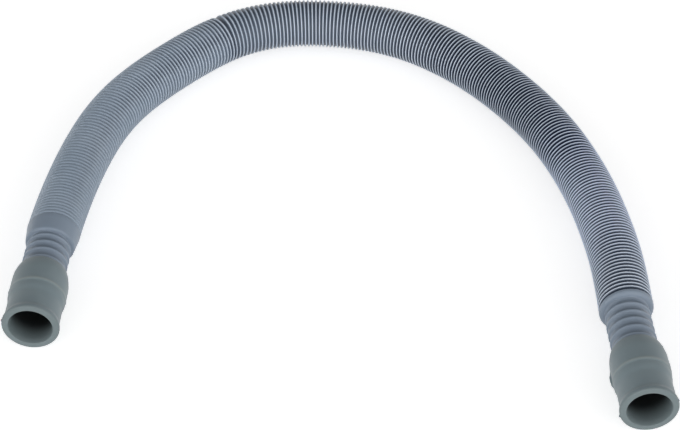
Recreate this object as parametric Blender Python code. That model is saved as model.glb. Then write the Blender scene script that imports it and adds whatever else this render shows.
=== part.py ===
"""Extendable drain hose of a washing machine or dishwasher.

The real object is three pieces. One is a long blow-moulded plastic hose: a
bellows of about 240 ring pleats, with a smooth collar, a rounded shoulder and a
narrow ringed neck at each end. The other two are moulded rubber cuffs, each
pushed over the last rings of a neck, with a socket that slides onto a spigot.

The hose lies on the floor in an arch. The origin is on the floor below the
middle of the object, +Z is up, and both sockets open towards -Y.
"""

import math

import bmesh
import bpy
import numpy as np
from mathutils import Vector

MM = 0.001

# Route of the hose on the floor, from the rear edge of the left cuff to the
# rear edge of the right cuff, in millimetres, chosen by hand.
ROUTE_MM = (
    (-154.1, -69.0), (-152.4, -44.0), (-149.3, -18.0), (-145.0, 7.0),
    (-139.5, 31.0), (-132.0, 55.0), (-121.3, 77.5), (-107.0, 97.7),
    (-90.5, 116.2), (-72.3, 133.3), (-51.0, 146.5), (-26.5, 153.0),
    (-1.3, 152.8), (23.2, 148.2), (46.5, 138.5), (67.0, 124.2),
    (85.0, 107.0), (100.7, 87.8), (114.5, 67.0), (126.0, 45.0),
    (135.0, 21.7), (142.0, -2.3), (147.0, -26.5), (150.6, -51.5),
    (152.3, -76.0), (153.2, -101.0), (154.8, -126.0),
)
STEPS_PER_SPAN = 40

# Bellows. The pleats are a little more open in some stretches than in others:
# each row gives the distance from the left collar, the pitch of the pleats and
# the diameter over their peaks there.
PLEAT_TABLE_MM = (
    (0.0, 2.38, 29.0),
    (12.0, 2.31, 29.0),
    (30.0, 2.50, 29.0),
    (50.0, 2.49, 29.0),
    (73.0, 2.54, 29.0),
    (95.0, 2.54, 29.0),
    (112.0, 2.55, 29.0),
    (122.0, 2.36, 29.0),
    (132.0, 2.48, 29.0),
    (150.0, 2.36, 29.0),
    (170.0, 2.36, 29.0),
    (184.0, 2.64, 29.0),
    (197.4, 2.59, 28.8),
    (197.6, 4.57, 28.8),
    (202.0, 4.59, 28.4),
    (202.2, 2.81, 28.4),
    (220.0, 2.73, 28.2),
    (238.0, 2.42, 27.9),
    (258.0, 2.35, 28.0),
    (300.0, 2.33, 28.4),
    (328.0, 2.36, 28.8),
    (340.0, 2.45, 28.9),
    (355.0, 2.39, 29.0),
    (372.0, 2.25, 29.0),
    (392.0, 2.16, 29.0),
    (412.0, 2.24, 29.0),
    (432.0, 2.25, 29.0),
    (450.0, 2.47, 29.0),
    (459.0, 2.62, 29.0),
    (466.0, 2.50, 29.0),
    (476.0, 2.31, 29.0),
    (498.0, 2.31, 29.0),
    (530.0, 2.30, 29.0),
    (545.0, 2.47, 29.0),
    (555.0, 2.48, 29.0),
    (586.0, 2.61, 29.0),
)
VALLEY_D = 23.4 * MM
PLEAT_WALL = 0.7 * MM
BELLOWS_BORE_D = VALLEY_D - 2.0 * PLEAT_WALL
BORE_STEP = 12.0 * MM

# Collar, shoulder and neck at each end of the hose.
COLLAR_D = 29.0 * MM
LEFT_COLLAR = 7.7 * MM
RIGHT_COLLAR = 1.3 * MM
SHOULDER = 4.0 * MM
SHOULDER_STEPS = 4
NECK_D = 23.2 * MM
NECK_WALL = 1.0 * MM
NECK_BORE_D = NECK_D - 2.0 * NECK_WALL
NECK_RING_HEIGHT = 0.5 * MM
NECK_RING_D = NECK_D + 2.0 * NECK_RING_HEIGHT
NECK_RING_WIDTH = 2.0 * MM
NECK_RING_PITCH = 5.8 * MM
FIRST_RING = 2.0 * MM
LEFT_RINGS = 4
RIGHT_RINGS = 5
RINGS_IN_CUFF = 2
LAST_RING_TO_SHOULDER = 2.2 * MM

# Rubber cuff, lengths from its mouth.
CUFF_LENGTH = 40.3 * MM
CUFF_GRIP = 12.0 * MM
MOUTH_D = 29.2 * MM
LIP_D = 30.0 * MM
LIP_LENGTH = 1.6 * MM
SLEEVE_D = 28.4 * MM
SLEEVE_LENGTH = 16.0 * MM
BARREL_D = 29.5 * MM
STEP_LENGTH = 1.8 * MM
BEAD_AT = 22.0 * MM
BEAD_WIDTH = 1.4 * MM
BEAD_D = 30.2 * MM
CONE_LENGTH = 7.5 * MM
CONE_ROUNDING = 1.8 * MM
REAR_LIP = 0.7 * MM
SOCKET_D = 22.2 * MM
SOCKET_END_D = 21.6 * MM
SOCKET_CHAMFER = 0.6 * MM
STOP_HEIGHT = 0.5 * MM
STOP_D = SOCKET_END_D - 2.0 * STOP_HEIGHT
STOP_LENGTH = 2.0 * MM
FLASH_HEIGHT = 0.3 * MM
FLASH_NUB = 0.9 * MM
FLASH_HALF_ANGLE = math.radians(2.5)
PARTING_TURN = math.radians(18.0)

# Clearance between the hose and a cuff.
GAP = 0.3 * MM

HOSE_SIDES = 10
CUFF_SIDES = 20

HOSE_COLOUR = (0.262, 0.305, 0.376, 1.0)
CUFF_COLOUR = (0.150, 0.176, 0.174, 1.0)


def corner_radius(diameter, sides):
    """Corner radius of a regular polygon with the area of the circle."""
    step = 2.0 * math.pi / sides
    return 0.5 * diameter * math.sqrt(step / math.sin(step))


def natural_spline(points, steps):
    """Smooth curve with continuous curvature through the points."""
    spans = np.linalg.norm(np.diff(points, axis=0), axis=1)
    count = len(points)
    matrix = np.eye(count)
    slopes = np.diff(points, axis=0) / spans[:, None]
    right_side = np.zeros_like(points)
    for i in range(1, count - 1):
        matrix[i, i - 1:i + 2] = (spans[i - 1], 2.0 * (spans[i - 1] + spans[i]), spans[i])
        right_side[i] = 6.0 * (slopes[i] - slopes[i - 1])
    bends = np.linalg.solve(matrix, right_side)
    pieces = []
    for i, span in enumerate(spans):
        after = np.linspace(0.0, span, steps, endpoint=False)[:, None]
        before = span - after
        curved = (bends[i] * before ** 3 + bends[i + 1] * after ** 3) / (6.0 * span)
        start = (points[i] / span - bends[i] * span / 6.0) * before
        end = (points[i + 1] / span - bends[i + 1] * span / 6.0) * after
        pieces.append(curved + start + end)
    return np.vstack(pieces + [points[-1:]])


class Centreline:
    """Axis of the hose, measured along its length from the left cuff's rear edge."""

    def __init__(self):
        self.points = natural_spline(np.array(ROUTE_MM) * MM, STEPS_PER_SPAN)
        steps = np.linalg.norm(np.diff(self.points, axis=0), axis=1)
        self.along = np.concatenate(([0.0], np.cumsum(steps)))
        self.length = self.along[-1]
        self.directions = np.gradient(self.points, self.along, axis=0)

    def height(self, distance):
        """Height of the axis: the hose and the thicker cuffs both lie on the floor."""
        hose_height = 0.5 * COLLAR_D
        cuff_height = corner_radius(BEAD_D, CUFF_SIDES)
        from_cuff = min(distance, self.length - distance)
        share = min(max(from_cuff / neck_length(LEFT_RINGS), 0.0), 1.0)
        blend = share * share * (3.0 - 2.0 * share)
        return cuff_height + (hose_height - cuff_height) * blend

    def at(self, distance):
        """Point on the axis and its level direction; past the ends it runs straight."""
        inside = min(max(distance, 0.0), self.length)
        x, y = (np.interp(inside, self.along, self.points[:, k]) for k in (0, 1))
        run_x, run_y = (np.interp(inside, self.along, self.directions[:, k]) for k in (0, 1))
        direction = Vector((run_x, run_y, 0.0)).normalized()
        point = Vector((x, y, self.height(distance)))
        return point + direction * (distance - inside), direction


def neck_length(rings):
    """Length of a neck from the cuff's rear edge to the foot of the shoulder."""
    return FIRST_RING + (rings - 1) * NECK_RING_PITCH + LAST_RING_TO_SHOULDER


def neck_ring_places(rings):
    """Places of the neck's rings, those inside the cuff included."""
    return [FIRST_RING + k * NECK_RING_PITCH for k in range(-RINGS_IN_CUFF, rings)]


def neck_profile(rings, collar):
    """Outside of one end of the hose, from its tip to the collar's far edge."""
    profile = [(-CUFF_GRIP, NECK_D)]
    for place in neck_ring_places(rings):
        profile.append((place - 0.5 * NECK_RING_WIDTH, NECK_D))
        profile.append((place, NECK_RING_D))
        profile.append((place + 0.5 * NECK_RING_WIDTH, NECK_D))
    foot = neck_length(rings)
    for step in range(SHOULDER_STEPS):
        angle = 0.5 * math.pi * step / (SHOULDER_STEPS - 1)
        along = foot + SHOULDER * (1.0 - math.cos(angle))
        profile.append((along, NECK_D + (COLLAR_D - NECK_D) * math.sin(angle)))
    profile.append((foot + SHOULDER + collar, COLLAR_D))
    return profile


def pleat_profile(start, end):
    """Valleys and peaks between the collars, at the pitch that the table gives."""
    table = np.array(PLEAT_TABLE_MM) * MM
    along = np.linspace(0.0, end - start, 4000)
    pitch = np.interp(along, table[:, 0], table[:, 1])
    turns = np.concatenate(([0.0], np.cumsum(np.diff(along) / pitch[1:])))
    pleats = round(turns[-1])
    print("pleats:", pleats)
    profile = []
    for half in range(1, 2 * pleats):
        place = np.interp(0.5 * half / pleats * turns[-1], turns, along)
        peak_d = np.interp(place, table[:, 0], table[:, 2])
        profile.append((start + place, peak_d if half % 2 == 0 else VALLEY_D))
    return profile


def hose_profile(line):
    """Closed section of the hose's wall: outside to the right, bore back to the left."""
    left = neck_profile(LEFT_RINGS, LEFT_COLLAR)
    right = [(line.length - along, d) for along, d in neck_profile(RIGHT_RINGS, RIGHT_COLLAR)]
    right.reverse()
    pleats = pleat_profile(left[-1][0], right[0][0])
    bore = [(left[0][0], NECK_BORE_D), (neck_length(LEFT_RINGS), NECK_BORE_D)]
    bore_start = neck_length(LEFT_RINGS) + SHOULDER
    bore_end = line.length - neck_length(RIGHT_RINGS) - SHOULDER
    for along in np.linspace(bore_start, bore_end, round((bore_end - bore_start) / BORE_STEP)):
        bore.append((along, BELLOWS_BORE_D))
    bore += [(line.length - neck_length(RIGHT_RINGS), NECK_BORE_D), (right[-1][0], NECK_BORE_D)]
    bore.reverse()
    return left + pleats + right + bore


def cuff_profile():
    """Closed section of a cuff's wall as (distance from the mouth, diameter, flash)."""
    barrel_start = SLEEVE_LENGTH + STEP_LENGTH
    cone_start = CUFF_LENGTH - CONE_LENGTH
    rear_bore_d = 2.0 * (corner_radius(NECK_D, HOSE_SIDES) + GAP)
    ring_bore_d = 2.0 * (corner_radius(NECK_RING_D, HOSE_SIDES) + GAP)
    rear_d = rear_bore_d + 2.0 * REAR_LIP
    rounding_d = BARREL_D - 0.3 * (BARREL_D - rear_d)
    outside = [
        (0.0, MOUTH_D, FLASH_NUB),
        (0.5 * LIP_LENGTH, LIP_D, FLASH_NUB),
        (LIP_LENGTH, LIP_D, FLASH_HEIGHT),
        (2.0 * LIP_LENGTH, SLEEVE_D, FLASH_HEIGHT),
        (SLEEVE_LENGTH, SLEEVE_D, FLASH_HEIGHT),
        (barrel_start, BARREL_D, FLASH_HEIGHT),
        (BEAD_AT - 0.5 * BEAD_WIDTH, BARREL_D, FLASH_HEIGHT),
        (BEAD_AT, BEAD_D, 0.0),
        (BEAD_AT + 0.5 * BEAD_WIDTH, BARREL_D, FLASH_HEIGHT),
        (cone_start, BARREL_D, FLASH_HEIGHT),
        (cone_start + CONE_ROUNDING, rounding_d, FLASH_NUB),
        (CUFF_LENGTH, rear_d, 0.0),
    ]
    inside = [(CUFF_LENGTH, rear_bore_d, 0.0)]
    for place in reversed(neck_ring_places(0)):
        reach = 0.5 * NECK_RING_WIDTH + GAP
        inside.append((CUFF_LENGTH + place + reach, rear_bore_d, 0.0))
        inside.append((CUFF_LENGTH + place + GAP, ring_bore_d, 0.0))
        inside.append((CUFF_LENGTH + place - GAP, ring_bore_d, 0.0))
        inside.append((CUFF_LENGTH + place - reach, rear_bore_d, 0.0))
    stop_rear = CUFF_LENGTH - CUFF_GRIP - GAP
    inside += [
        (stop_rear, rear_bore_d, 0.0),
        (stop_rear, STOP_D, 0.0),
        (stop_rear - STOP_LENGTH, STOP_D, 0.0),
        (stop_rear - STOP_LENGTH, SOCKET_END_D, 0.0),
        (SOCKET_CHAMFER, SOCKET_D, 0.0),
        (0.0, SOCKET_D + 2.0 * SOCKET_CHAMFER, 0.0),
    ]
    return outside + inside


def closed_wall(name, rings):
    """Mesh of a tube wall: each ring is joined to the next, and the last to the first."""
    shape = bmesh.new()
    loops = [[shape.verts.new(point) for point in ring] for ring in rings]
    sides = len(loops[0])
    for here, there in zip(loops, loops[1:] + loops[:1]):
        for k in range(sides):
            after = (k + 1) % sides
            shape.faces.new((here[k], there[k], there[after], here[after]))
    bmesh.ops.recalc_face_normals(shape, faces=shape.faces)
    mesh = bpy.data.meshes.new(name)
    shape.to_mesh(mesh)
    shape.free()
    return mesh


def plain_material(name, colour, roughness):
    """Principled material of one piece."""
    material = bpy.data.materials.new(name)
    material.use_nodes = True
    shader = material.node_tree.nodes["Principled BSDF"]
    shader.inputs["Base Color"].default_value = colour
    shader.inputs["Roughness"].default_value = roughness
    shader.inputs["Metallic"].default_value = 0.0
    return material


def add_object(name, mesh, material, smooth_below):
    """Object with rounded shading where its faces meet at less than the angle."""
    mesh.materials.append(material)
    mesh.shade_smooth()
    mesh.set_sharp_from_angle(angle=math.radians(smooth_below))
    piece = bpy.data.objects.new(name, mesh)
    bpy.context.scene.collection.objects.link(piece)
    return piece


def make_hose(line):
    """The bellows hose, its wall swept along the centreline."""
    rings = []
    for along, diameter in hose_profile(line):
        point, direction = line.at(along)
        across = direction.cross(Vector((0.0, 0.0, 1.0)))
        radius = corner_radius(diameter, HOSE_SIDES)
        ring = []
        for k in range(HOSE_SIDES):
            angle = 2.0 * math.pi * k / HOSE_SIDES
            offset = across * math.cos(angle) + Vector((0.0, 0.0, math.sin(angle)))
            ring.append(point + offset * radius)
        rings.append(ring)
    material = plain_material("blue_grey_plastic", HOSE_COLOUR, 0.42)
    return add_object("bellows_hose", closed_wall("bellows_hose", rings), material, 30.0)


def cuff_angles(parting):
    """Corners round a cuff, with a narrow fin of flash on both sides of its mould."""
    angles = [(2.0 * math.pi * k / CUFF_SIDES, 0.0) for k in range(CUFF_SIDES)]
    seams = (parting % (2.0 * math.pi), (parting + math.pi) % (2.0 * math.pi))
    marked = []
    for angle, _ in angles:
        on_seam = any(abs(angle - seam) < 1e-6 for seam in seams)
        if on_seam:
            marked.append((angle - FLASH_HALF_ANGLE, 0.0))
            marked.append((angle, 1.0))
            marked.append((angle + FLASH_HALF_ANGLE, 0.0))
        else:
            marked.append((angle, 0.0))
    return marked


def make_cuff(name, line, distance, parting, material):
    """A rubber cuff, turned about the hose's straight end with its mouth at -Y."""
    rings = []
    for along, diameter, flash in cuff_profile():
        radius = corner_radius(diameter, CUFF_SIDES)
        ring = []
        for angle, on_seam in cuff_angles(parting):
            reach = radius + flash * on_seam
            ring.append(Vector((reach * math.cos(angle), along, reach * math.sin(angle))))
        rings.append(ring)
    cuff = add_object(name, closed_wall(name, rings), material, 30.0)
    rear, direction = line.at(distance)
    if direction.y < 0.0:
        direction = -direction
    cuff.location = rear - direction * CUFF_LENGTH
    cuff.rotation_euler = (0.0, 0.0, math.atan2(-direction.x, direction.y))
    return cuff


def clear_scene():
    """Remove what the file opened with."""
    for thing in list(bpy.data.objects):
        bpy.data.objects.remove(thing)


def main():
    """Build the hose and its two cuffs."""
    clear_scene()
    line = Centreline()
    print("centreline, mm:", round(line.length / MM, 1))
    make_hose(line)
    rubber = plain_material("grey_green_rubber", CUFF_COLOUR, 0.62)
    make_cuff("left_cuff", line, 0.0, -PARTING_TURN, rubber)
    make_cuff("right_cuff", line, line.length, PARTING_TURN, rubber)


main()
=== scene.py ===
# %% [markdown]
# # Extendable drain hose
#
# The real object is a blow-moulded plastic bellows with some 240 ring pleats. Each
# end narrows to a ringed neck, and a moulded rubber cuff is pressed over each neck.
# The hose lies on the floor in an arch, and the camera looks down at it from the
# side that both cuffs open to.
#
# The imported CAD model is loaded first. It says where the hose and the cuffs are, and
# the finer pieces made here replace its three nodes in the picture.

# %% Load the frame
import math

import bmesh
import bpy
import numpy as np
from mathutils import Matrix, Vector


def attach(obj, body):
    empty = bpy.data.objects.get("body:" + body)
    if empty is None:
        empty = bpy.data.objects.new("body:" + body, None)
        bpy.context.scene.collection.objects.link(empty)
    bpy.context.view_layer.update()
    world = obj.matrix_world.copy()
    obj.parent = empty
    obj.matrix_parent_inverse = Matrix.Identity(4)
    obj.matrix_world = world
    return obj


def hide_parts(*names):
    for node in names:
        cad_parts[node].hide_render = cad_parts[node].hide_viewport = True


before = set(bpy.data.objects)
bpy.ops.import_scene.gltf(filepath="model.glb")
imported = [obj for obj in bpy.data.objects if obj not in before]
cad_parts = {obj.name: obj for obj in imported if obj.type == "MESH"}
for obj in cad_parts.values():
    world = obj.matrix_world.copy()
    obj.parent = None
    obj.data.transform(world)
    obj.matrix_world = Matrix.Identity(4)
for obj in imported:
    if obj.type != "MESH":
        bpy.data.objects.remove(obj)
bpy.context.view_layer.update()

MM = 0.001
print("nodes:", sorted(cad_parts))

# %% [markdown]
# ## Camera
#
# The photograph was taken with a long lens from in front and above. The place and
# the focal length come from the sizes of the two mouths and from the way the tube
# gets narrower towards the back. A long lens keeps the far part of the arch almost
# as wide as the near part.

# %% Camera
PHOTO_WIDTH_PX = 680
FOCAL_LENGTH_PX = 2222
SENSOR_WIDTH = 36.0
CAMERA_PLACE = Vector((3.4, -926.3, 822.7)) * MM
LOOK_DOWN = math.radians(41.74)
ROLL = math.radians(0.17)

lens = bpy.data.cameras.new("camera")
lens.sensor_width = SENSOR_WIDTH
lens.lens = FOCAL_LENGTH_PX / PHOTO_WIDTH_PX * SENSOR_WIDTH
camera = bpy.data.objects.new("camera", lens)
tilt = Matrix.Rotation(math.radians(90.0) - LOOK_DOWN, 4, "X")
camera.matrix_world = Matrix.Translation(CAMERA_PLACE) @ tilt @ Matrix.Rotation(ROLL, 4, "Z")
bpy.context.scene.collection.objects.link(camera)
bpy.context.scene.camera = camera
print("lens, mm:", round(lens.lens, 1))

# %% [markdown]
# ## The hose's line
#
# A hose has one smooth centreline. A few points chosen along it and a natural cubic
# spline give a curve whose bend changes evenly, as a springy tube's does. The cuffs
# are a little thicker than the bellows, and both lie on the floor, so the line rises
# slightly towards the cuffs.

# %% Route on the floor
ROUTE = np.array((
    (-154.1, -69.0), (-152.4, -44.0), (-149.3, -18.0), (-145.0, 7.0),
    (-139.5, 31.0), (-132.0, 55.0), (-121.3, 77.5), (-107.0, 97.7),
    (-90.5, 116.2), (-72.3, 133.3), (-51.0, 146.5), (-26.5, 153.0),
    (-1.3, 152.8), (23.2, 148.2), (46.5, 138.5), (67.0, 124.2),
    (85.0, 107.0), (100.7, 87.8), (114.5, 67.0), (126.0, 45.0),
    (135.0, 21.7), (142.0, -2.3), (147.0, -26.5), (150.6, -51.5),
    (152.3, -76.0), (153.2, -101.0), (154.8, -126.0),
)) * MM
STEPS_PER_SPAN = 40


def natural_spline(points, steps):
    """Smooth curve with continuous curvature through the points."""
    spans = np.linalg.norm(np.diff(points, axis=0), axis=1)
    count = len(points)
    matrix = np.eye(count)
    slopes = np.diff(points, axis=0) / spans[:, None]
    right_side = np.zeros_like(points)
    for i in range(1, count - 1):
        matrix[i, i - 1:i + 2] = (spans[i - 1], 2.0 * (spans[i - 1] + spans[i]), spans[i])
        right_side[i] = 6.0 * (slopes[i] - slopes[i - 1])
    bends = np.linalg.solve(matrix, right_side)
    pieces = []
    for i, span in enumerate(spans):
        after = np.linspace(0.0, span, steps, endpoint=False)[:, None]
        before = span - after
        curved = (bends[i] * before ** 3 + bends[i + 1] * after ** 3) / (6.0 * span)
        start = (points[i] / span - bends[i] * span / 6.0) * before
        end = (points[i + 1] / span - bends[i + 1] * span / 6.0) * after
        pieces.append(curved + start + end)
    return np.vstack(pieces + [points[-1:]])


floor_line = natural_spline(ROUTE, STEPS_PER_SPAN)
line_steps = np.linalg.norm(np.diff(floor_line, axis=0), axis=1)
line_along = np.concatenate(([0.0], np.cumsum(line_steps)))
line_runs = np.gradient(floor_line, line_along, axis=0)
LINE_LENGTH = line_along[-1]
print("line between the cuffs, mm:", round(LINE_LENGTH / MM, 1))

# %% Height of the line
COLLAR_R = 14.5 * MM
CUFF_R = 15.225 * MM
NECK_RISE_LENGTH = 21.6 * MM


def axis_at(distance):
    """Point on the hose's axis and its level direction; past the ends it runs straight."""
    inside = min(max(distance, 0.0), LINE_LENGTH)
    x, y = (np.interp(inside, line_along, floor_line[:, k]) for k in (0, 1))
    run_x, run_y = (np.interp(inside, line_along, line_runs[:, k]) for k in (0, 1))
    run = Vector((run_x, run_y, 0.0)).normalized()
    from_cuff = min(distance, LINE_LENGTH - distance)
    share = min(max(from_cuff / NECK_RISE_LENGTH, 0.0), 1.0)
    height = CUFF_R + (COLLAR_R - CUFF_R) * share * share * (3.0 - 2.0 * share)
    return Vector((x, y, height)) + run * (distance - inside), run


print("left cuff meets the hose at, mm:", [round(x / MM, 1) for x in axis_at(0.0)[0]])

# %% [markdown]
# ## Stations along the hose
#
# The wall is turned round the line, so one profile describes it: neck rings, a
# shoulder, a smooth collar, and then one pleat after another. Each station of the
# profile says how far along it lies, the radius between the ribs, how high a rib
# rises there, and how far the station is from the middle of its rib. The pleats are
# squeezed shut in some stretches and stand open in others, above all past the kink
# at the left of the crown. A table gives their pitch, size, lean and painted groove
# shade at some distances, and the values in between are interpolated.

# %% Sizes of the necks and of the collars
NECK_R = 11.6 * MM
NECK_RING_RISE = 0.7 * MM
NECK_RING_HALF = 0.85 * MM
NECK_RING_PITCH = 5.8 * MM
FIRST_RING = 2.0 * MM
RINGS_IN_CUFF = 2
CUFF_GRIP = 12.0 * MM
SHOULDER_STATIONS = 9
# stations of a rib, from one foot (-1) over the crest (0) to the other foot (1)
RIB_PLACES = (-1.0, -0.85, -0.42, 0.0, 0.42, 0.85, 1.0)
# rings outside the cuff, way from the last one to the shoulder, length and radius of the
# shoulder, length of the collar
LEFT_END = (4, 3.0 * MM, 1.5 * MM, 13.45 * MM, 9.4 * MM)
RIGHT_END = (5, 4.6 * MM, 2.0 * MM, 14.4 * MM, 0.9 * MM)
# share of the shade painted into the grooves that also darkens the necks and the collars
NECK_SHADE, COLLAR_SHADE = 0.34, 0.26
# share of a neck ring's half width over which its crest is flat
NECK_CREST = 0.7
# how far along the collar its stations are
COLLAR_SHARES = (0.25, 0.5, 0.75, 1.0)


def neck_stations(rings, to_shoulder, shoulder, shoulder_r, collar):
    """Stations (distance, radius, rise, place on the rib, shade) from a tip to the bellows."""
    stations = [(-CUFF_GRIP, NECK_R, 0.0, 1.0, NECK_SHADE)]
    for ring in range(-RINGS_IN_CUFF, rings):
        middle = FIRST_RING + ring * NECK_RING_PITCH
        for place in RIB_PLACES:
            along = middle + place * NECK_RING_HALF
            down = max(abs(place), NECK_CREST)
            stations.append((along, NECK_R, NECK_RING_RISE, down, NECK_SHADE))
    foot = FIRST_RING + (rings - 1) * NECK_RING_PITCH + to_shoulder
    for angle in np.linspace(0.0, 0.5 * math.pi, SHOULDER_STATIONS):
        along = foot + shoulder * (1.0 - math.cos(angle))
        radius = NECK_R + (shoulder_r - NECK_R) * math.sin(angle)
        shade = COLLAR_SHADE + (NECK_SHADE - COLLAR_SHADE) * math.cos(angle)
        stations.append((along, radius, 0.0, 1.0, shade))
    for share in COLLAR_SHARES:
        along = foot + shoulder + share * collar
        radius = shoulder_r + (COLLAR_R - shoulder_r) * share
        stations.append((along, radius, 0.0, 1.0, COLLAR_SHADE))
    return stations, foot + shoulder + collar


left_neck, bellows_start = neck_stations(*LEFT_END)
right_neck, from_right = neck_stations(*RIGHT_END)
bellows_end = LINE_LENGTH - from_right
print("bellows from", round(bellows_start / MM, 1), "to", round(bellows_end / MM, 1), "mm")

# %% Table of the pleats
# distance from the left collar, pitch, radius over the ribs, radius between them, share
# of the pitch that the rib takes, lean of the ring in degrees, strength of the shade
# painted into the groove, and how far that painted shade is on the inner side of the arch only
PLEATS = np.array((
    (0.0, 2.38, 14.45, 14.00, 0.74, 1.3, 0.34, 0.97),
    (12.0, 2.31, 14.45, 13.90, 0.74, 1.5, 0.42, 0.96),
    (30.0, 2.50, 14.45, 13.70, 0.73, 2.5, 0.50, 0.95),
    (50.0, 2.49, 14.45, 13.60, 0.72, 1.4, 0.55, 0.94),
    (73.0, 2.54, 14.45, 13.50, 0.71, 1.4, 0.57, 0.93),
    (95.0, 2.54, 14.45, 13.40, 0.70, 3.2, 0.59, 0.92),
    (112.0, 2.55, 14.45, 13.30, 0.65, 4.3, 0.63, 0.90),
    (122.0, 2.36, 14.45, 13.20, 0.64, 4.6, 0.64, 0.88),
    (132.0, 2.48, 14.45, 13.10, 0.63, 4.2, 0.65, 0.84),
    (150.0, 2.36, 14.45, 13.00, 0.62, 2.8, 0.65, 0.74),
    (170.0, 2.36, 14.45, 12.90, 0.60, 1.6, 0.70, 0.66),
    (184.0, 2.64, 14.45, 12.90, 0.60, 1.6, 0.68, 0.50),
    (193.0, 2.60, 14.40, 12.80, 0.59, 2.0, 0.70, 0.30),
    (197.4, 2.59, 14.30, 12.50, 0.58, 1.8, 0.75, 0.0),
    (197.6, 4.20, 14.30, 12.30, 0.49, 1.8, 0.74, 0.0),
    (201.7, 4.20, 14.20, 12.30, 0.49, -4.4, 0.74, 0.0),
    (201.9, 2.95, 14.20, 12.60, 0.55, -4.4, 0.74, 0.0),
    (207.5, 2.90, 14.15, 12.85, 0.56, -5.0, 0.70, 0.0),
    (210.0, 2.80, 14.13, 12.90, 0.55, -4.8, 0.70, 0.0),
    (220.0, 2.73, 14.05, 12.91, 0.54, -3.3, 0.72, 0.0),
    (228.0, 2.59, 14.01, 12.92, 0.54, -2.0, 0.75, 0.0),
    (238.0, 2.42, 13.95, 12.93, 0.54, 0.0, 0.78, 0.0),
    (250.0, 2.38, 13.98, 12.94, 0.54, 2.2, 0.80, 0.0),
    (258.0, 2.35, 14.00, 12.95, 0.54, 2.7, 0.80, 0.0),
    (266.0, 2.35, 14.04, 12.96, 0.54, 1.3, 0.80, 0.0),
    (300.0, 2.33, 14.20, 13.00, 0.51, 0.8, 0.82, 0.0),
    (328.0, 2.36, 14.40, 12.93, 0.48, 2.2, 0.92, 0.0),
    (340.0, 2.45, 14.45, 12.90, 0.44, 1.9, 0.95, 0.0),
    (355.0, 2.39, 14.45, 12.70, 0.41, -1.1, 1.05, 0.0),
    (372.0, 2.25, 14.45, 12.55, 0.37, -2.3, 1.15, 0.0),
    (392.0, 2.16, 14.45, 12.45, 0.31, -0.4, 1.30, 0.0),
    (412.0, 2.24, 14.45, 12.40, 0.29, 0.1, 1.35, 0.0),
    (432.0, 2.25, 14.45, 12.35, 0.30, -1.0, 1.35, 0.0),
    (450.0, 2.47, 14.45, 12.35, 0.32, -0.7, 1.30, 0.0),
    (459.0, 2.62, 14.45, 12.35, 0.33, -0.5, 1.25, 0.0),
    (466.0, 2.50, 14.45, 12.40, 0.35, -0.7, 1.20, 0.0),
    (476.0, 2.31, 14.45, 12.50, 0.42, -0.6, 1.15, 0.0),
    (498.0, 2.31, 14.45, 12.64, 0.58, 1.0, 1.10, 0.0),
    (530.0, 2.30, 14.45, 12.63, 0.60, 2.2, 1.10, 0.0),
    (545.0, 2.47, 14.45, 12.62, 0.52, 3.8, 1.05, 0.0),
    (555.0, 2.48, 14.45, 12.61, 0.46, 3.7, 1.00, 0.0),
    (582.5, 2.61, 14.45, 12.60, 0.46, 3.6, 1.00, 0.0),
    (586.0, 2.61, 14.45, 12.40, 0.26, 3.6, 1.00, 0.0),
))
PITCH, TIP, VALLEY, SHARE, LEAN, SHADE, ONE_SIDED = range(1, 8)
SAMPLES = 4000
pleat_at = PLEATS[:, 0] * MM

sample_along = np.linspace(0.0, bellows_end - bellows_start, SAMPLES)
sample_pitch = np.interp(sample_along, pleat_at, PLEATS[:, PITCH] * MM)
sample_turns = np.concatenate(([0.0], np.cumsum(np.diff(sample_along) / sample_pitch[1:])))
PLEAT_COUNT = round(sample_turns[-1])
print("pleats:", PLEAT_COUNT)

# %% Stations of the pleats


def pleat_place(count):
    """Distance from the left collar at which a count of pleats, whole or not, is reached."""
    return float(np.interp(count / PLEAT_COUNT * sample_turns[-1], sample_turns, sample_along))


def pleat_value(column, along):
    """Value of one column of the table of pleats at a distance from the left collar."""
    return float(np.interp(along, pleat_at, PLEATS[:, column]))


def pleat_stations(rib_places):
    """Stations of all pleats; the two collars stand for the first and the last rib."""
    stations = []
    for count in range(PLEAT_COUNT + 1):
        half = 0.5 * pleat_value(SHARE, pleat_place(count))
        for place in rib_places:
            turn = count + place * half
            if 0.0 < turn < PLEAT_COUNT:
                along = pleat_place(turn)
                tip, valley, shade = (pleat_value(k, along) for k in (TIP, VALLEY, SHADE))
                rise = (tip - valley) * MM
                stations.append((bellows_start + along, valley * MM, rise, abs(place), shade))
        if count < PLEAT_COUNT:
            along = pleat_place(count + 0.5)
            valley, shade = (pleat_value(k, along) for k in (VALLEY, SHADE))
            stations.append((bellows_start + along, valley * MM, 0.0, 1.0, shade))
    return stations


def whole_hose(left, pleats, right):
    """Stations from tip to tip; the right end is written from its own tip."""
    mirrored = [(LINE_LENGTH - s[0], *s[1:]) for s in reversed(right)]
    return left + pleats + mirrored


outside_stations = whole_hose(left_neck, pleat_stations(RIB_PLACES), right_neck)
print("stations outside:", len(outside_stations))

# %% [markdown]
# ## The ribbed tube as Geometry Nodes
#
# All the rings follow one rule, so one node tree makes them. It reads the stations
# as points of a line, works out the radius at each from the rib's rise and from the
# place on the rib, and sweeps a circle along the line. Rings may lean, which opens
# the wedge at the kink. The left leg's pleats are shut on the outer side of the arch
# and open on its inner side, so their grooves are filled on the outer side and painted
# dark as shade on the inner side. A very small seeded unevenness keeps the rings from
# looking machined.

# %% Helpers for node trees


def add_node(tree, kind, **inputs):
    """Add a node, set its inputs by name (spaces as underscores) and return it."""
    node = tree.nodes.new(kind)
    for name, value in inputs.items():
        node.inputs[name.replace("_", " ")].default_value = value
    return node


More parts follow.
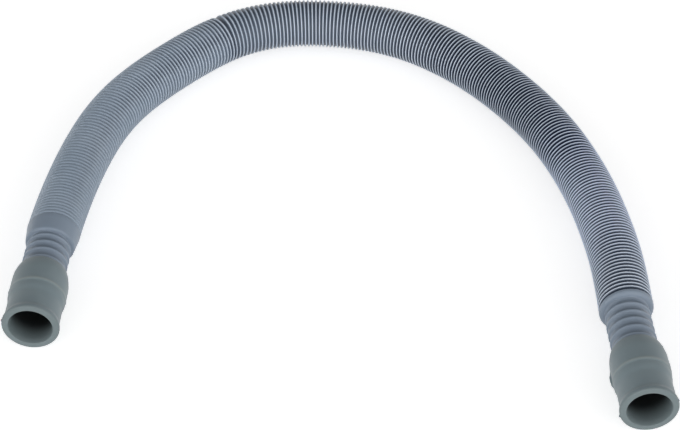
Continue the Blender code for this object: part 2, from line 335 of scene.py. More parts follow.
def feed(tree, socket, value):
    """Link an output to a node's input, or set the input to a plain value."""
    if isinstance(value, bpy.types.NodeSocket):
        tree.links.new(value, socket)
    elif value is not None:
        socket.default_value = value


def math_node(tree, operation, first, second=None):
    """Math node whose operands are sockets or plain numbers; returns its output."""
    node = tree.nodes.new("ShaderNodeMath")
    node.operation = operation
    for socket, value in zip(node.inputs, (first, second)):
        feed(tree, socket, value)
    return node.outputs["Value"]


def vector_node(tree, operation, first, second=None):
    """Vector Math node whose operands are sockets or plain vectors."""
    node = tree.nodes.new("ShaderNodeVectorMath")
    node.operation = operation
    for socket, value in zip(node.inputs, (first, second)):
        feed(tree, socket, value)
    gives_number = operation in ("DOT_PRODUCT", "LENGTH", "DISTANCE")
    return node.outputs["Value" if gives_number else "Vector"]


def scaled_vector(tree, vector, size):
    """A vector times a number."""
    node = tree.nodes.new("ShaderNodeVectorMath")
    node.operation = "SCALE"
    tree.links.new(vector, node.inputs[0])
    tree.links.new(size, node.inputs["Scale"])
    return node.outputs["Vector"]


def named_value(tree, name, kind="FLOAT"):
    """Output of a Named Attribute node."""
    node = tree.nodes.new("GeometryNodeInputNamedAttribute")
    node.data_type = kind
    node.inputs["Name"].default_value = name
    return node.outputs["Attribute"]


def store_value(tree, geometry, name, value, kind="FLOAT"):
    """Store a value on the points under a name; returns the geometry's output."""
    node = tree.nodes.new("GeometryNodeStoreNamedAttribute")
    node.data_type = kind
    node.domain = "POINT"
    node.inputs["Name"].default_value = name
    tree.links.new(geometry, node.inputs["Geometry"])
    tree.links.new(value, node.inputs["Value"])
    return node.outputs["Geometry"]


# %% Ribs and the sweep


def rib_and_radius(tree, given):
    """How full the rib is at a station, and the radius there with its unevenness."""
    place = math_node(tree, "MINIMUM", named_value(tree, "place"), 1.0)
    fallen = math_node(tree, "POWER", place, given["Rib Fullness"])
    rib = math_node(tree, "SQRT", math_node(tree, "SUBTRACT", 1.0, fallen))
    chance = add_node(tree, "FunctionNodeRandomValue")
    tree.links.new(given["Seed"], chance.inputs["Seed"])
    uneven = math_node(tree, "MULTIPLY", chance.outputs[1], given["Unevenness"])
    risen = math_node(tree, "MULTIPLY", named_value(tree, "rise"), rib)
    radius = math_node(tree, "ADD", named_value(tree, "core"), risen)
    return rib, math_node(tree, "SUBTRACT", radius, uneven)


def swept_rings(tree, given):
    """Sweep a circle along the stations; values for later steps are stored on the line."""
    link = tree.links.new
    rib, radius = rib_and_radius(tree, given)
    line = add_node(tree, "GeometryNodeMeshToCurve")
    link(given["Geometry"], line.inputs["Mesh"])
    upright = add_node(tree, "GeometryNodeSetCurveNormal")
    upright.mode = "Z_UP"
    link(line.outputs["Curve"], upright.inputs["Curve"])
    run = add_node(tree, "GeometryNodeInputTangent").outputs["Tangent"]
    here = add_node(tree, "GeometryNodeInputPosition").outputs["Position"]
    gap = math_node(tree, "SUBTRACT", 1.0, rib)
    gap = math_node(tree, "MULTIPLY", gap, named_value(tree, "rise"))
    shape = store_value(tree, upright.outputs["Curve"], "run", run, "FLOAT_VECTOR")
    shape = store_value(tree, shape, "axis", here, "FLOAT_VECTOR")
    shape = store_value(tree, shape, "rib", rib)
    shape = store_value(tree, shape, "gap", gap)
    circle = add_node(tree, "GeometryNodeCurvePrimitiveCircle", Radius=1.0)
    link(given["Sides"], circle.inputs["Resolution"])
    sweep = add_node(tree, "GeometryNodeCurveToMesh")
    link(shape, sweep.inputs["Curve"])
    link(circle.outputs["Curve"], sweep.inputs["Profile Curve"])
    link(radius, sweep.inputs["Scale"])
    return sweep.outputs["Mesh"]


# %% Grooves and the lean of the rings
# the shade painted into a groove grows this much faster than the groove's depth
GROOVE_SHADE_WIDENING = 2.0
# where the pleats are one-sided, the painted groove shade grows from the top of the tube
# towards the inner side of the arch, and eases off again at the flank
LOBE_RISE = 1.6
LOBE_FALL_FROM, LOBE_FALL = 2.2, 1.7
# share of a shut groove's depth that is filled
OUTER_FILL = 0.75


def open_share(tree, inner):
    """How open a groove is, from how far a point lies towards the arch's inner side."""
    falling = math_node(tree, "MULTIPLY", inner, LOBE_FALL)
    falling = math_node(tree, "SUBTRACT", LOBE_FALL_FROM, falling)
    rising = math_node(tree, "MULTIPLY", inner, LOBE_RISE)
    one_side = math_node(tree, "MINIMUM", rising, falling)
    one_side.node.use_clamp = True
    all_round = math_node(tree, "SUBTRACT", 1.0, named_value(tree, "one_sided"))
    return math_node(tree, "MAXIMUM", all_round, one_side)


def leant_and_shaded(tree, mesh):
    """Store the shade painted into the grooves, lean the rings, and fill the grooves where they
    are shut.
    """
    here = add_node(tree, "GeometryNodeInputPosition").outputs["Position"]
    run = named_value(tree, "run", "FLOAT_VECTOR")
    sideways = vector_node(tree, "CROSS_PRODUCT", run, (0.0, 0.0, 1.0))
    out = vector_node(tree, "SUBTRACT", here, named_value(tree, "axis", "FLOAT_VECTOR"))
    reach = vector_node(tree, "DOT_PRODUCT", out, sideways)
    inner = math_node(tree, "DIVIDE", reach, vector_node(tree, "LENGTH", out))
    opened = open_share(tree, inner)
    groove_shade = math_node(tree, "SUBTRACT", 1.0, named_value(tree, "rib"))
    groove_shade = math_node(tree, "MULTIPLY", groove_shade, GROOVE_SHADE_WIDENING)
    groove_shade.node.use_clamp = True
    groove_shade = math_node(tree, "MULTIPLY", groove_shade, named_value(tree, "shade"))
    groove_shade = math_node(tree, "MULTIPLY", groove_shade, opened)
    shift = math_node(tree, "MULTIPLY", reach, named_value(tree, "lean"))
    leant = scaled_vector(tree, run, shift)
    shut = math_node(tree, "SUBTRACT", 1.0, opened)
    fill = math_node(tree, "MULTIPLY", shut, OUTER_FILL)
    fill = math_node(tree, "MULTIPLY", fill, named_value(tree, "gap"))
    filled = scaled_vector(tree, vector_node(tree, "NORMALIZE", out), fill)
    moved = add_node(tree, "GeometryNodeSetPosition")
    tree.links.new(store_value(tree, mesh, "groove_shade", groove_shade), moved.inputs["Geometry"])
    tree.links.new(vector_node(tree, "ADD", leant, filled), moved.inputs["Offset"])
    return moved.outputs["Geometry"]


# %% The tree that makes a ribbed tube
TREE_INPUTS = (
    ("Sides", "NodeSocketInt", 40),
    ("Rib Fullness", "NodeSocketFloat", 3.0),
    ("Unevenness", "NodeSocketFloat", 0.00004),
    ("Seed", "NodeSocketInt", 7),
    ("Face Inwards", "NodeSocketBool", False),
    ("Material", "NodeSocketMaterial", None),
)


def faced_and_painted(tree, shape, given):
    """Turn the faces inwards if asked, smooth them and give them the material."""
    link = tree.links.new
    flip = add_node(tree, "GeometryNodeFlipFaces")
    link(shape, flip.inputs["Mesh"])
    side = tree.nodes.new("GeometryNodeSwitch")
    side.input_type = "GEOMETRY"
    link(given["Face Inwards"], side.inputs["Switch"])
    link(shape, side.inputs["False"])
    link(flip.outputs["Mesh"], side.inputs["True"])
    soft = add_node(tree, "GeometryNodeSetShadeSmooth")
    link(side.outputs["Output"], soft.inputs["Geometry"])
    real = add_node(tree, "GeometryNodeRealizeInstances")
    link(soft.outputs["Geometry"], real.inputs["Geometry"])
    painted = add_node(tree, "GeometryNodeSetMaterial")
    link(real.outputs["Geometry"], painted.inputs["Geometry"])
    link(given["Material"], painted.inputs["Material"])
    return painted.outputs["Geometry"]


def ribbed_tube_tree():
    """Geometry Nodes tree that turns a line of stations into a ribbed tube."""
    tree = bpy.data.node_groups.new("ribbed_tube", "GeometryNodeTree")
    face = tree.interface
    face.new_socket("Geometry", in_out="INPUT", socket_type="NodeSocketGeometry")
    for name, kind, value in TREE_INPUTS:
        socket = face.new_socket(name, in_out="INPUT", socket_type=kind)
        if value is not None:
            socket.default_value = value
    face.new_socket("Geometry", in_out="OUTPUT", socket_type="NodeSocketGeometry")
    given = tree.nodes.new("NodeGroupInput").outputs
    shape = leant_and_shaded(tree, swept_rings(tree, given))
    shape = faced_and_painted(tree, shape, given)
    tree.links.new(shape, tree.nodes.new("NodeGroupOutput").inputs["Geometry"])
    return tree


ribbed_tube = ribbed_tube_tree()
print("nodes in the tree:", len(ribbed_tube.nodes))

# %% From stations to a plain mesh
LEAN_FADES_OVER = 8.0 * MM


def lean_at(distance):
    """Tangent of a ring's lean; it fades out over the collars."""
    along = distance - bellows_start
    outside = max(-along, distance - bellows_end, 0.0)
    fading = max(0.0, 1.0 - outside / LEAN_FADES_OVER)
    return math.tan(math.radians(pleat_value(LEAN, along))) * fading


def one_sided_at(distance):
    """How far the painted groove shade is on the inner side only; the necks and collars get it
    all round.
    """
    if not bellows_start < distance < bellows_end:
        return 0.0
    return pleat_value(ONE_SIDED, distance - bellows_start)


def station_line(name, stations):
    """Object whose vertices are the stations, joined by edges, with their values."""
    mesh = bpy.data.meshes.new(name)
    points = [axis_at(station[0])[0] for station in stations]
    edges = [(k, k + 1) for k in range(len(points) - 1)]
    mesh.from_pydata(points, edges, [])
    columns = {
        "core": [station[1] for station in stations],
        "rise": [station[2] for station in stations],
        "place": [station[3] for station in stations],
        "shade": [station[4] for station in stations],
        "lean": [lean_at(station[0]) for station in stations],
        "one_sided": [one_sided_at(station[0]) for station in stations],
    }
    for column, values in columns.items():
        mesh.attributes.new(column, "FLOAT", "POINT").data.foreach_set("value", values)
    line = bpy.data.objects.new(name, mesh)
    bpy.context.scene.collection.objects.link(line)
    return line


def through_tree(line, tree, **values):
    """Run an object through a tree, and return the result as a plain mesh."""
    modifier = line.modifiers.new("tree", "NODES")
    modifier.node_group = tree
    sockets = {item.name: item.identifier for item in tree.interface.items_tree}
    for name, value in values.items():
        modifier[sockets[name.replace("_", " ")]] = value
    evaluated = line.evaluated_get(bpy.context.evaluated_depsgraph_get())
    mesh = bpy.data.meshes.new_from_object(evaluated)
    line.modifiers.clear()
    bpy.data.objects.remove(line)
    return mesh


print("rings lean, degrees:", PLEATS[:, LEAN].min(), "to", PLEATS[:, LEAN].max())

# %% [markdown]
# ## Materials
#
# The bellows is a satin blue-grey polypropylene. The tips of its ribs, where the
# pleats stand open, are painted paler as a highlight where they catch the light, and
# the grooves between them are painted dark as shade. Halfway down the right leg the
# plastic is paler and bluer. The cuffs are a matt grey-green rubber, painted a little
# paler on the bead as a highlight and painted dark deep in the socket as shade. Both
# materials have a fine mottling, and this is one shader node group with its own values in each.

# %% Shader group for mottling
MOTTLING_DETAIL = {"Slow": 2.0, "Fine": 3.0}
MOTTLING_ROUGHNESS = 0.55


def mottling_group():
    """Shader group: slow and fine noise on Object coordinates, their sizes in millimetres."""
    group = bpy.data.node_groups.new("mottling", "ShaderNodeTree")
    for name in MOTTLING_DETAIL:
        for way, label in (("INPUT", name + " Size"), ("OUTPUT", name)):
            group.interface.new_socket(label, in_out=way, socket_type="NodeSocketFloat")
    given = group.nodes.new("NodeGroupInput").outputs
    result = group.nodes.new("NodeGroupOutput").inputs
    place = group.nodes.new("ShaderNodeTexCoord").outputs["Object"]
    for name, detail in MOTTLING_DETAIL.items():
        noise = add_node(
            group, "ShaderNodeTexNoise", Detail=detail, Roughness=MOTTLING_ROUGHNESS,
        )
        scale = math_node(group, "DIVIDE", 1.0 / MM, given[name + " Size"])
        group.links.new(place, noise.inputs["Vector"])
        group.links.new(scale, noise.inputs["Scale"])
        group.links.new(noise.outputs["Fac"], result[name])
    return group


mottling = mottling_group()
print("shader groups:", [group.name for group in bpy.data.node_groups if group.type == "SHADER"])

# %% Helpers for materials
SPECULAR = 0.45


def new_material(name):
    """Material with its own Principled BSDF, a little less glossy than the default."""
    material = bpy.data.materials.new(name)
    material.use_nodes = True
    shader = material.node_tree.nodes["Principled BSDF"]
    shader.inputs["Specular IOR Level"].default_value = SPECULAR
    return material, material.node_tree, shader


def mix_colour(tree, share, first, second):
    """Mix of two colours, each a socket or a plain colour."""
    node = tree.nodes.new("ShaderNodeMix")
    node.data_type = "RGBA"
    feed(tree, node.inputs[0], share)
    for socket, value in ((node.inputs[6], first), (node.inputs[7], second)):
        plain = isinstance(value, tuple)
        feed(tree, socket, (*value, 1.0) if plain else value)
    return node.outputs[2]


def mapped(tree, value, low, high, to_low, to_high):
    """Value mapped smoothly from one range to another."""
    node = tree.nodes.new("ShaderNodeMapRange")
    node.interpolation_type = "SMOOTHSTEP"
    tree.links.new(value, node.inputs["Value"])
    limits = {"From Min": low, "From Max": high, "To Min": to_low, "To Max": to_high}
    for name, number in limits.items():
        node.inputs[name].default_value = number
    return node.outputs["Result"]


def stored_value(tree, name):
    """Value that the mesh keeps under a name, for a shader."""
    node = tree.nodes.new("ShaderNodeAttribute")
    node.attribute_name = name
    return node.outputs["Fac"]


def use_mottling(tree, slow_size, fine_size):
    """The mottling group in a material, with its own sizes; returns the two noises."""
    node = tree.nodes.new("ShaderNodeGroup")
    node.node_tree = mottling
    node.inputs["Slow Size"].default_value = slow_size
    node.inputs["Fine Size"].default_value = fine_size
    return node.outputs["Slow"], node.outputs["Fine"]


# %% Blue-grey plastic of the hose
WALL_COLOUR = (0.337, 0.408, 0.495)
MOTTLED_COLOUR = (0.286, 0.360, 0.450)
# painted shade in the grooves, close to black
GROOVE_SHADE_COLOUR = (0.014, 0.024, 0.055)
# painted highlight on the tips of the ribs, where they catch the light
TIP_HIGHLIGHT_COLOUR = (0.680, 0.760, 0.885)
# the paler, bluer stretch: its middle, how far it is at full strength and where it ends
BLOOM_COLOUR = (0.600, 0.690, 0.960)
BLOOM_PLACE = (0.146, -0.010, 0.020)
BLOOM_FULL, BLOOM_END, BLOOM_SHARE = 0.030, 0.075, 0.32
HOSE_PATCH_SIZE, HOSE_GRAIN_SIZE = 40.0, 3.0
# each range maps the first two numbers to the last two
HOSE_PATCHES = (0.35, 0.65, 0.0, 0.6)
# where the painted highlight goes: near a rib's crest, on pleats whose groove shade is strong
TIP_OF_RIB = (0.7, 0.95, 0.0, 1.0)
OPEN_PLEATS = (0.5, 0.9, 0.0, 0.95)
HOSE_ROUGHNESS = (0.3, 0.7, 0.34, 0.46)


def hose_plastic():
    """Satin plastic, painted paler on the open ribs' tips as a highlight and painted dark in the
    grooves as shade.
    """
    material, tree, shader = new_material("blue_grey_plastic")
    slow, fine = use_mottling(tree, HOSE_PATCH_SIZE, HOSE_GRAIN_SIZE)
    patches = mapped(tree, slow, *HOSE_PATCHES)
    wall = mix_colour(tree, patches, WALL_COLOUR, MOTTLED_COLOUR)
    on_tip = mapped(tree, stored_value(tree, "rib"), *TIP_OF_RIB)
    open_pleats = mapped(tree, stored_value(tree, "shade"), *OPEN_PLEATS)
    # painted highlight on the tips of the open ribs
    painted_highlight = math_node(tree, "MULTIPLY", on_tip, open_pleats)
    colour = mix_colour(tree, painted_highlight, wall, TIP_HIGHLIGHT_COLOUR)
    place = tree.nodes.new("ShaderNodeTexCoord").outputs["Object"]
    away = vector_node(tree, "DISTANCE", place, BLOOM_PLACE)
    bloom = mapped(tree, away, BLOOM_FULL, BLOOM_END, BLOOM_SHARE, 0.0)
    colour = mix_colour(tree, bloom, colour, BLOOM_COLOUR)
    # painted shade: the grooves are darkened towards the groove shade colour
    colour = mix_colour(tree, stored_value(tree, "groove_shade"), colour, GROOVE_SHADE_COLOUR)
    tree.links.new(colour, shader.inputs["Base Color"])
    tree.links.new(mapped(tree, fine, *HOSE_ROUGHNESS), shader.inputs["Roughness"])
    return material


blue_grey_plastic = hose_plastic()
print("hose material nodes:", len(blue_grey_plastic.node_tree.nodes))

# %% Grey-green rubber of the cuffs
RUBBER_COLOUR = (0.182, 0.238, 0.262)
RUBBER_BLOOM = (0.210, 0.266, 0.288)
RIM_COLOUR = (0.172, 0.214, 0.224)
# painted highlight along the bead
BEAD_HIGHLIGHT_COLOUR = (0.300, 0.350, 0.350)
# painted shade deep in the socket, near black
SOCKET_SHADE_COLOUR = (0.012, 0.014, 0.015)
CUFF_PATCH_SIZE, CUFF_GRAIN_SIZE = 16.0, 0.7
# how strong the painted highlight along the bead is
BEAD_HIGHLIGHT_SHARE = 0.7
OUTSIDE_SHEEN = 0.3
GRAIN_STRENGTH, GRAIN_HEIGHT = 0.15, 0.1 * MM
CUFF_PATCHES = (0.35, 0.7, 0.0, 0.6)
CUFF_ROUGHNESS = (0.3, 0.7, 0.50, 0.60)
# depth behind the mouth in millimetres, below zero on the outside
RIM_PART = (-1.5, -0.5, 0.0, 1.0)
# where the painted shade in the socket starts and where it is full
DEEP_SHADE_PART = (2.5, 14.5, 0.0, 1.0)
DUSTY_PART = (-2.0, 0.0, OUTSIDE_SHEEN, 0.0)


def cuff_rubber():
    """Matt moulded rubber, painted paler along its bead as a highlight and painted dark deep in
    its socket as shade.
    """
    material, tree, shader = new_material("grey_green_rubber")
    slow, fine = use_mottling(tree, CUFF_PATCH_SIZE, CUFF_GRAIN_SIZE)
    patches = mapped(tree, slow, *CUFF_PATCHES)
    colour = mix_colour(tree, patches, RUBBER_COLOUR, RUBBER_BLOOM)
    # painted highlight along the lit edge of the bead
    bead_highlight = math_node(tree, "MULTIPLY", stored_value(tree, "bead"), BEAD_HIGHLIGHT_SHARE)
    colour = mix_colour(tree, bead_highlight, colour, BEAD_HIGHLIGHT_COLOUR)
    depth = stored_value(tree, "depth")
    colour = mix_colour(tree, mapped(tree, depth, *RIM_PART), colour, RIM_COLOUR)
    # painted shade deep in the socket
    colour = mix_colour(tree, mapped(tree, depth, *DEEP_SHADE_PART), colour, SOCKET_SHADE_COLOUR)
    tree.links.new(colour, shader.inputs["Base Color"])
    tree.links.new(mapped(tree, depth, *DUSTY_PART), shader.inputs["Sheen Weight"])
    tree.links.new(mapped(tree, slow, *CUFF_ROUGHNESS), shader.inputs["Roughness"])
    bump = add_node(tree, "ShaderNodeBump", Strength=GRAIN_STRENGTH, Distance=GRAIN_HEIGHT)
    tree.links.new(fine, bump.inputs["Height"])
    tree.links.new(bump.outputs["Normal"], shader.inputs["Normal"])
    return material


grey_green_rubber = cuff_rubber()
print("cuff material nodes:", len(grey_green_rubber.node_tree.nodes))

# %% [markdown]
# ## The hose
#
# The wall has an outside and an inside. Each is swept on its own, the inside with
# fewer sides because it is only seen through the sockets, and the two are bridged
# at the tips, so that the hose is one closed wall as on the real one.

# %% Inside of the wall
NECK_WALL = 1.0 * MM
BORE_VALLEY_R = 11.0 * MM
BORE_RISE = 1.0 * MM
OUTSIDE_SIDES = 40
INSIDE_SIDES = 20
# shade painted on the inside of the necks and of the bellows
NECK_BORE_SHADE, BORE_SHADE = 1.0, 0.6
# the bore of a neck needs only every third station of its outside
NECK_STATION_STEP = 3


def inside_neck(stations):
    """The same neck, a wall's thickness further in and with fewer stations."""
    inner = []
    for along, radius, *_ in stations[::NECK_STATION_STEP]:
        bore = min(radius - NECK_WALL, BORE_VALLEY_R)
        inner.append((along, bore, 0.0, 1.0, NECK_BORE_SHADE))
    return inner


inside_pleats = []
for along, _, _, place, _ in pleat_stations((0.0,)):
    rise = BORE_RISE if place < 1.0 else 0.0
    inside_pleats.append((along, BORE_VALLEY_R, rise, place, BORE_SHADE))
inside_stations = whole_hose(inside_neck(left_neck), inside_pleats, inside_neck(right_neck))
print("stations inside:", len(inside_stations))

# %% Sweep both and close the tips


def open_ends(shape):
    """The open edges of a tube as two loops, the one at the left tip first."""
    edges = [edge for edge in shape.edges if edge.is_boundary]
    left = [edge for edge in edges if edge.verts[0].co.x < 0.0]
    right = [edge for edge in edges if edge.verts[0].co.x > 0.0]
    return left, right


def close_tips(outside, inside, name):
    """Join the outside and the inside of a wall, and bridge them at both tips."""
    shape = bmesh.new()
    shape.from_mesh(outside)
    shape.from_mesh(inside)
    for ends in open_ends(shape):
        bmesh.ops.bridge_loops(shape, edges=ends)
    for face in shape.faces:
        face.smooth = True
    mesh = bpy.data.meshes.new(name)
    shape.to_mesh(mesh)
    shape.free()
    return mesh


outside_mesh = through_tree(
    station_line("outside_line", outside_stations), ribbed_tube,
    Sides=OUTSIDE_SIDES, Material=blue_grey_plastic,
)
inside_mesh = through_tree(
    station_line("inside_line", inside_stations), ribbed_tube,
    Sides=INSIDE_SIDES, Face_Inwards=True, Material=blue_grey_plastic,
)
hose_mesh = close_tips(outside_mesh, inside_mesh, "hose")
hose_mesh.materials.append(blue_grey_plastic)
hose = bpy.data.objects.new("bellows", hose_mesh)
bpy.context.scene.collection.objects.link(hose)
hose_mesh.calc_loop_triangles()
print("hose triangles:", len(hose_mesh.loop_triangles))

# %% [markdown]
# ## The cuffs
#
# A cuff is turned too, but its mould left a parting line on both sides: a thin fin
# of flash that stands out further where it was torn off, at the mouth and at the
# cone. So its rings aren't quite round, and mesh code makes them: a profile with
# rounded corners, turned round the axis, with more points close to the two seams. A
# table for each cuff gives the height of its flash along both seams.

# %% Outline of a cuff
CUFF_LENGTH = 40.3 * MM
# distance from the mouth, radius and rounding, in millimetres
OUTSIDE_CORNERS = (
    (0.0, 14.4, 0.7), (0.6, 15.12, 0.6), (2.2, 15.12, 0.8), (4.4, 14.25, 1.6),
    (14.8, 14.15, 1.6), (17.8, 14.8, 1.4), (20.7, 14.85, 0.4), (21.6, 15.15, 0.4),
    (22.5, 15.15, 0.4), (23.4, 14.9, 0.4), (33.8, 14.9, 2.6), (37.8, 14.1, 1.6),
    (40.3, 13.2, 0.5),
)
INSIDE_CORNERS = (
    (40.3, 12.3, 0.1), (28.0, 12.3, 0.1), (28.0, 10.3, 0.2), (26.0, 10.3, 0.2),
    (26.0, 10.8, 0.2), (2.4, 11.05, 1.4), (0.0, 11.7, 0.4),
)
# the cuff's outside is further from the axis than this, and its socket nearer
SOCKET_R = 12.6 * MM
ARC_STEPS = 4
LONGEST_ARC = 0.45
LONGEST_STEP = 1.2 * MM


def rounded_outline(corners):
    """Closed outline (distance, radius) with an arc at each corner."""
    points = [Vector((c[0], c[1])) * MM for c in corners]
    outline = []
    for k, corner in enumerate(points):
        before, after = points[k - 1] - corner, points[(k + 1) % len(points)] - corner
        shorter = min(before.length, after.length)
        reach = min(corners[k][2] * MM, LONGEST_ARC * shorter)
        start, end = corner + before.normalized() * reach, corner + after.normalized() * reach
        for step in range(ARC_STEPS + 1):
            t = step / ARC_STEPS
            bent = start * (1 - t) ** 2 + corner * 2.0 * t * (1 - t) + end * t ** 2
            outline.append((bent.x, bent.y))
    return outline


def finer(outline):
    """The outline with no step longer than the longest one."""
    result = []
    for here, there in zip(outline, outline[1:] + outline[:1]):
        length = math.hypot(there[0] - here[0], there[1] - here[1])
        parts = max(1, math.ceil(length / LONGEST_STEP))
        for part in range(parts):
            t = part / parts
            result.append(tuple(a + (b - a) * t for a, b in zip(here, there)))
    return result


cuff_outline = finer(rounded_outline(OUTSIDE_CORNERS + INSIDE_CORNERS))
print("points on the cuff's outline:", len(cuff_outline))

# %% Flash on the seams
CUFF_SIDES = 96
FIN_HALF_WIDTH = 0.35 * MM
# degrees from a seam: the points close to it, and where the even ones begin again
SEAM_STEPS = (-2.0, -1.2, -0.7, -0.3, 0.0, 0.3, 0.7, 1.2, 2.0)
SEAM_CLEAR = math.radians(2.6)
# distance from the mouth, height of the flash on the right seam and on the left one, in mm
LEFT_FLASH = (
    (0.0, 0.0, 0.2), (1.2, 0.0, 0.5), (2.6, 0.1, 0.2), (20.0, 0.3, 0.2), (30.0, 0.3, 0.1),
    (36.6, 0.1, 0.0), (38.4, 0.0, 0.8), (39.6, 0.0, 0.1), (40.3, 0.0, 0.0),
)
RIGHT_FLASH = (
    (0.0, 0.2, 0.3), (1.2, 0.3, 0.7), (2.6, 0.1, 0.1), (19.5, 0.0, 0.2), (22.5, 0.1, 0.9),
    (24.5, 0.4, 1.3), (28.0, 0.2, 1.3), (30.5, 0.1, 0.6), (32.0, 0.1, 0.2), (36.0, 0.1, 0.3),
    (38.4, 0.1, 0.6), (39.6, 0.9, 0.6), (40.3, 0.3, 0.2),
)


def flash_height(along, radius, flash, seam):
    """Height of the flash on one seam at a point of the outline."""
    if radius < SOCKET_R:
        return 0.0
    table = np.array(flash) * MM
    return float(np.interp(along, table[:, 0], table[:, 1 + seam]))


def cuff_angles(seams):
    """Angles round a cuff, closer together at the two seams."""
    plain = [2.0 * math.pi * k / CUFF_SIDES for k in range(CUFF_SIDES)]
    near = [seam + math.radians(step) for seam in seams for step in SEAM_STEPS]
    kept = [a for a in plain if all(abs(a - seam) > SEAM_CLEAR for seam in seams)]
    return sorted(kept + near)


for name, flash in (("left", LEFT_FLASH), ("right", RIGHT_FLASH)):
    print("highest flash on the", name, "cuff, mm:", max(max(row[1:]) for row in flash))


# %% Turn a cuff
# middle of the bead, and half width of the painted highlight along it
BEAD_AT = 22.05 * MM
BEAD_HALF_WIDTH = 0.8 * MM
SHARP_FROM = math.radians(50.0)
LEFT_PARTING, RIGHT_PARTING = math.radians(-12.0), math.radians(18.0)


def cuff_mesh(name, distance, parting, flash):
    """A cuff's wall in its place, its mouth away from the hose."""
    seams = (parting % (2.0 * math.pi), (parting + math.pi) % (2.0 * math.pi))
    rear, run = axis_at(distance)
    inward = run if distance < 0.5 * LINE_LENGTH else -run
    up = Vector((0.0, 0.0, 1.0))
    side = inward.cross(up)
    shape = bmesh.new()
    rings, beads, depths = [], [], []
    angles = cuff_angles(seams)
    for along, radius in cuff_outline:
        outside = radius > SOCKET_R
        fins = [flash_height(along, radius, flash, seam) for seam in (0, 1)]
        ring = []
        for angle in angles:
            reach = radius
            for seam, fin in zip(seams, fins):
                off = (angle - seam) * radius / FIN_HALF_WIDTH
                reach += fin * math.exp(-off * off)
            point = rear + inward * (along - CUFF_LENGTH)
            point = point + side * (reach * math.cos(angle)) + up * (reach * math.sin(angle))
            ring.append(shape.verts.new(point))
            beads.append(math.exp(-((along - BEAD_AT) / BEAD_HALF_WIDTH) ** 2) * outside)
            depths.append(-along / MM if outside else along / MM)
        rings.append(ring)
    for here, there in zip(rings, rings[1:] + rings[:1]):
        for k in range(len(angles)):
            after = (k + 1) % len(angles)
            shape.faces.new((here[k], there[k], there[after], here[after]))
    bmesh.ops.recalc_face_normals(shape, faces=shape.faces)
    mesh = bpy.data.meshes.new(name)
    shape.to_mesh(mesh)
    shape.free()
    mesh.attributes.new("bead", "FLOAT", "POINT").data.foreach_set("value", beads)
    mesh.attributes.new("depth", "FLOAT", "POINT").data.foreach_set("value", depths)
    mesh.shade_smooth()
    mesh.set_sharp_from_angle(angle=SHARP_FROM)
    mesh.materials.append(grey_green_rubber)
    return mesh


def add_cuff(name, *place):
    """A cuff as an object at the origin, its place in its mesh."""
    cuff = bpy.data.objects.new(name, cuff_mesh(name, *place))
    bpy.context.scene.collection.objects.link(cuff)
    return cuff


left_cuff = add_cuff("cuff_on_the_left", 0.0, LEFT_PARTING, LEFT_FLASH)
right_cuff = add_cuff("cuff_on_the_right", LINE_LENGTH, RIGHT_PARTING, RIGHT_FLASH)
print("cuff faces:", len(left_cuff.data.polygons))

# %% [markdown]
# ## Ties to the CAD model
#
# Every piece rides on the object's one body and stands for its CAD node, which is
# hidden. The hose lies loose on the floor, and its length from tip to tip is printed.

# %% Ride and replace
for piece, node, finish in (
    (hose, "bellows_hose", "hose_plastic"),
    (left_cuff, "left_cuff", "cuff_rubber"),
    (right_cuff, "right_cuff", "cuff_rubber"),
):
    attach(piece, "root")
    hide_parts(node)

hose_path = [axis_at(station[0])[0] for station in outside_stations]
hose_length = sum((b - a).length for a, b in zip(hose_path, hose_path[1:]))
print("hose from tip to tip, mm:", round(hose_length / MM, 1))

# %% [markdown]
# ## Floor and light
#
# The photograph has a plain white ground and soft light from all sides, stronger
# from low down than from above: the tops of the tubes are the darkest part, and
# their flanks are light. More of it comes from the front than from behind, and a
# little more from the right than from the left. The world gives that, and the floor
# is white to the camera and keeps a soft shadow.

# %% Floor
FLOOR_SIZE = 12.0
FLOOR_GREY = 0.82
FLOOR_ROUGHNESS = 0.9
CAMERA_LIFT = 0.62
WHITE = (1.0, 1.0, 1.0, 1.0)


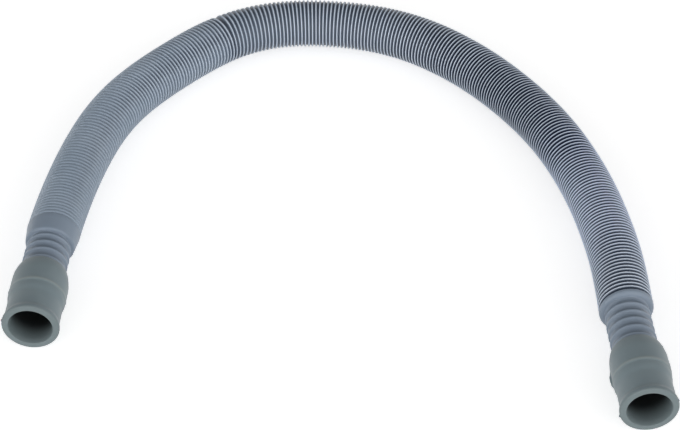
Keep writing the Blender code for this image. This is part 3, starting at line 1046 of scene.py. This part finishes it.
def white_floor():
    """White floor: the camera sees it lifted to white, and a shadow still shows."""
    material = bpy.data.materials.new("white_floor")
    material.use_nodes = True
    tree = material.node_tree
    shader = tree.nodes["Principled BSDF"]
    shader.inputs["Base Color"].default_value = (FLOOR_GREY, FLOOR_GREY, FLOOR_GREY, 1.0)
    shader.inputs["Roughness"].default_value = FLOOR_ROUGHNESS
    shader.inputs["Specular IOR Level"].default_value = 0.0
    light = tree.nodes.new("ShaderNodeLightPath").outputs
    seen = math_node(tree, "MAXIMUM", light["Is Camera Ray"], light["Is Glossy Ray"])
    seen = math_node(tree, "MAXIMUM", seen, light["Is Transmission Ray"])
    lift = math_node(tree, "MULTIPLY", seen, CAMERA_LIFT)
    shader.inputs["Emission Color"].default_value = WHITE
    tree.links.new(lift, shader.inputs["Emission Strength"])
    return material


floor_mesh = bpy.data.meshes.new("floor")
half = 0.5 * FLOOR_SIZE
floor_mesh.from_pydata(
    [(-half, -half, 0.0), (half, -half, 0.0), (half, half, 0.0), (-half, half, 0.0)],
    [], [(0, 1, 2, 3)],
)
floor_mesh.materials.append(white_floor())
floor = bpy.data.objects.new("floor", floor_mesh)
bpy.context.scene.collection.objects.link(floor)
print("floor, m:", FLOOR_SIZE, "on each side")

# %% Light
HORIZON_LIGHT = 1.42
OVERHEAD_LIGHT = 0.3
# sine of the height from which the light is as weak as overhead
OVERHEAD_FROM = 0.9
FRONT_SHARE = 0.9
RIGHT_SHARE = 0.1

world = bpy.data.worlds.new("studio")
world.use_nodes = True
bpy.context.scene.world = world
sky = world.node_tree
direction = sky.nodes.new("ShaderNodeTexCoord").outputs["Generated"]
split = sky.nodes.new("ShaderNodeSeparateXYZ")
sky.links.new(direction, split.inputs["Vector"])
lit = mapped(sky, split.outputs["Z"], 0.0, OVERHEAD_FROM, HORIZON_LIGHT, OVERHEAD_LIGHT)
front = math_node(sky, "MULTIPLY", split.outputs["Y"], -FRONT_SHARE)
right = math_node(sky, "MULTIPLY", split.outputs["X"], RIGHT_SHARE)
sideways = math_node(sky, "ADD", front, right)
lit = math_node(sky, "MULTIPLY", lit, math_node(sky, "ADD", sideways, 1.0))
path = sky.nodes.new("ShaderNodeLightPath").outputs["Is Camera Ray"]
unseen = math_node(sky, "MULTIPLY", math_node(sky, "SUBTRACT", 1.0, path), lit)
strength = math_node(sky, "ADD", unseen, path)
backdrop = sky.nodes["Background"]
backdrop.inputs["Color"].default_value = WHITE
sky.links.new(strength, backdrop.inputs["Strength"])

bpy.context.scene.view_settings.view_transform = "Standard"
print("light at the horizon and overhead:", HORIZON_LIGHT, OVERHEAD_LIGHT)
